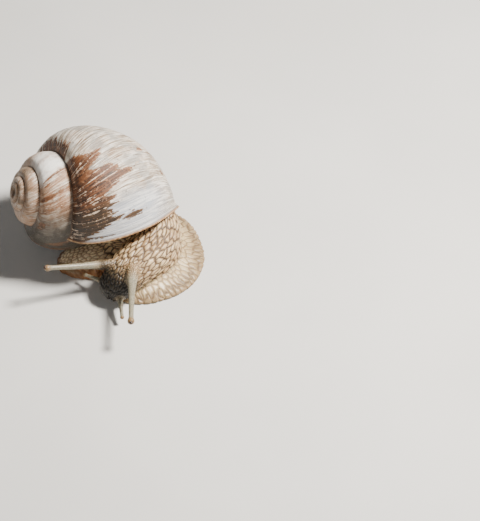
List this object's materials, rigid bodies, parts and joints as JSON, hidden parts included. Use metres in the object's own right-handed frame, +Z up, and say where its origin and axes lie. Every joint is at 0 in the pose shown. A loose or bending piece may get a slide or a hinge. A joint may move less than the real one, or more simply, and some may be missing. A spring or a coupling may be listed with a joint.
{
  "type": "striped snail",
  "caption": "Life-size still model of a Roman snail with a streaked, spiral shell, its neck turned back beside the foot and its feelers stretched out, set on a flat sole.",
  "frame": {"origin": "centre of the model's bounding box, at the level of the sole that rests on the floor", "axes": "+Z up; +X from the shell's tip towards its mouth; the head looks towards -X and -Y"},
  "size_m": [0.0441, 0.0498, 0.0314],
  "materials": {
    "shell": "worn chalky shell with brown streaks along the growth lines, slightly glossy",
    "skin": "moist, wrinkled, pale tubercles with brown grooves",
    "feeler": "moist and finely grained",
    "eye": "glossy"
  },
  "bodies": {
    "root": {"shell": "shell", "trunk": "skin", "tail": "skin", "foot_rear": "skin", "foot_front": "skin", "neck": "skin", "head": "skin", "feeler_upper_right": "feeler", "feeler_upper_left": "feeler", "feeler_lower_right": "feeler", "feeler_lower_left": "feeler", "eye_right": "eye", "eye_left": "eye"}
  },
  "joints": []
}
